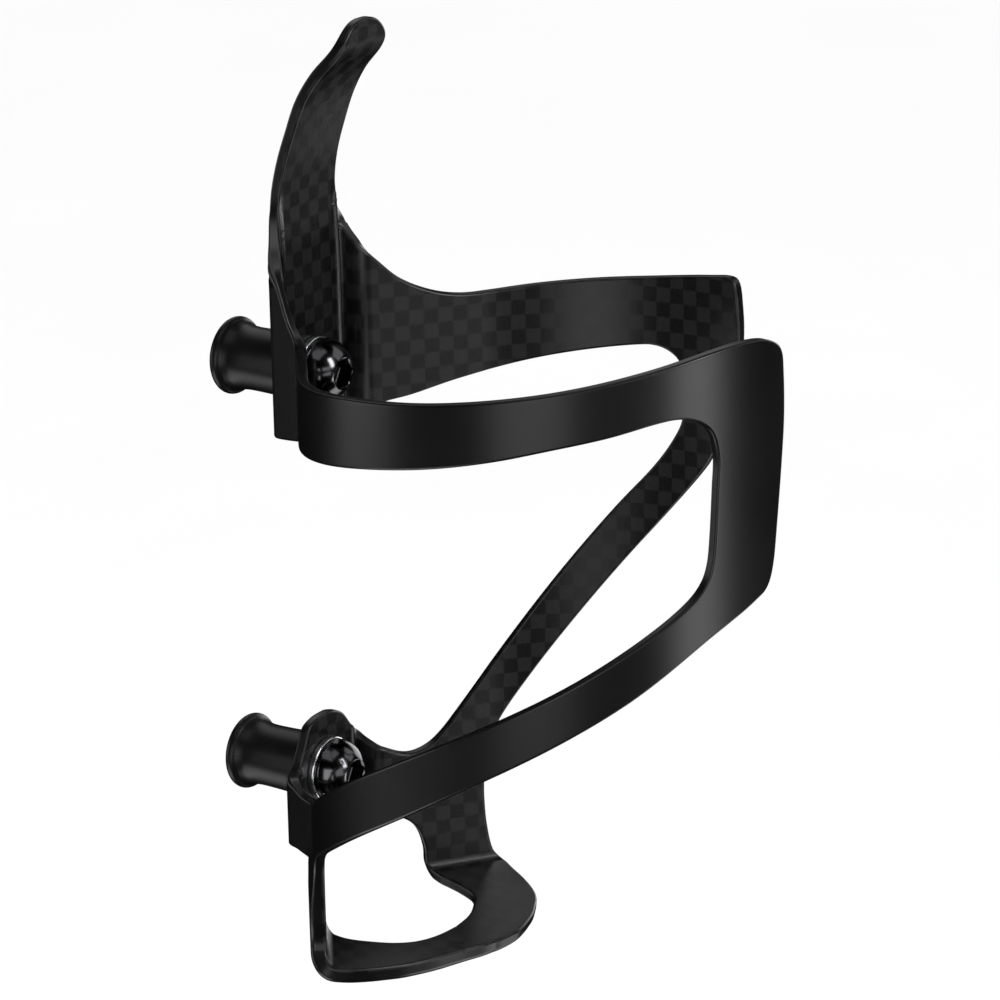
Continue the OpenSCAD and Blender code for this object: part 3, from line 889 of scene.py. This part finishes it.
def direction(azimuth, elevation):
    """Unit vector from the object towards a camera or lamp."""
    a, e = rad(azimuth), rad(elevation)
    return Vector((math.cos(a) * math.cos(e), math.sin(a) * math.cos(e), math.sin(e)))


def build_camera():
    """The camera at the photograph's angle."""
    data = bpy.data.cameras.new("photo_camera")
    data.lens, data.sensor_width = LENS, 36
    data.clip_start, data.clip_end = 0.05, 20
    camera = bpy.data.objects.new("photo_camera", data)
    bpy.context.collection.objects.link(camera)
    back = direction(CAMERA_AZIMUTH, CAMERA_ELEVATION)
    right = (-back).cross(Vector((0, 0, 1))).normalized()
    up = right.cross(-back)
    c, s = math.cos(rad(CAMERA_ROLL)), math.sin(rad(CAMERA_ROLL))
    right, up = right * c + up * s, up * c - right * s
    matrix = Matrix((right, up, back)).transposed().to_4x4()
    matrix.translation = CAMERA_TARGET + back * CAMERA_DISTANCE
    camera.matrix_world = matrix
    bpy.context.scene.camera = camera


# Studio softboxes: azimuth, elevation, power in watts, width and height in metres
STUDIO = [
    (86, 33, 6.0, 0.3, 0.65),      # key: a tall strip
    (20, 0, 3.5, 0.7, 0.8),        # level with the object, all round
    (60, 8, 1.2, 0.6, 0.6),
    (90, -15, 2.5, 0.4, 0.5),
    (180, 0, 4.5, 0.9, 0.8),
    (300, 0, 2.2, 0.7, 0.7),
    (140, 38, 1.4, 0.9, 0.6),      # soft fill from above
    (230, 38, 1.6, 0.9, 0.6),
    (0, 75, 2.0, 1.0, 1.0),
    (135, -50, 4.0, 0.8, 0.8),     # soft fill from below
    (315, -50, 4.5, 0.8, 0.8)]
SOFTBOX_DISTANCE = 1.2
FLOOR_HALF = 12.0
FLOOR_DROP = 1.1        # from the object's lowest point down to the floor
WORLD_STRENGTH = 1.05


def softbox(azimuth, elevation, power, width, height):
    """A rectangular light that faces the object."""
    data = bpy.data.lights.new("softbox", "AREA")
    data.shape, data.size, data.size_y, data.energy = "RECTANGLE", width, height, power
    lamp = bpy.data.objects.new("softbox", data)
    bpy.context.collection.objects.link(lamp)
    lamp.location = CAMERA_TARGET + direction(azimuth, elevation) * SOFTBOX_DISTANCE
    lamp.rotation_euler = (-direction(azimuth, elevation)).to_track_quat("-Z", "Y").to_euler()
    lamp.visible_camera = False


def build_stage():
    """A plain pale floor."""
    size, z = FLOOR_HALF, cad_box[0][2] - FLOOR_DROP
    corners = [(-size, -size, z), (size, -size, z), (size, size, z), (-size, size, z)]
    mesh = bpy.data.meshes.new("floor")
    mesh.from_pydata(corners, [], [(0, 1, 2, 3)])
    floor = bpy.data.objects.new("floor", mesh)
    bpy.context.collection.objects.link(floor)
    m = Nodes("floor_paper")
    place = m.add("ShaderNodeTexCoord").outputs["Object"]
    cloud = m.add("ShaderNodeTexNoise", {"Vector": place, "Scale": 3.0}).outputs["Fac"]
    m.link(m.colour(cloud, (0.93, 0.93, 0.93), (0.96, 0.96, 0.96)), "Base Color")
    m.set(Roughness=0.9, Specular_IOR_Level=0.1)
    mesh.materials.append(m.mat)
    floor.visible_glossy = False


def build_world():
    """Even white surroundings, which reflections don't show."""
    world = bpy.data.worlds.new("studio")
    world.use_nodes = True
    background = world.node_tree.nodes["Background"]
    background.inputs["Color"].default_value = (1, 1, 1, 1)
    background.inputs["Strength"].default_value = WORLD_STRENGTH
    world.cycles_visibility.glossy = False
    bpy.context.scene.world = world


build_camera()
build_stage()
build_world()
for box in STUDIO:
    softbox(*box)
bpy.context.scene.view_settings.view_transform = "Standard"
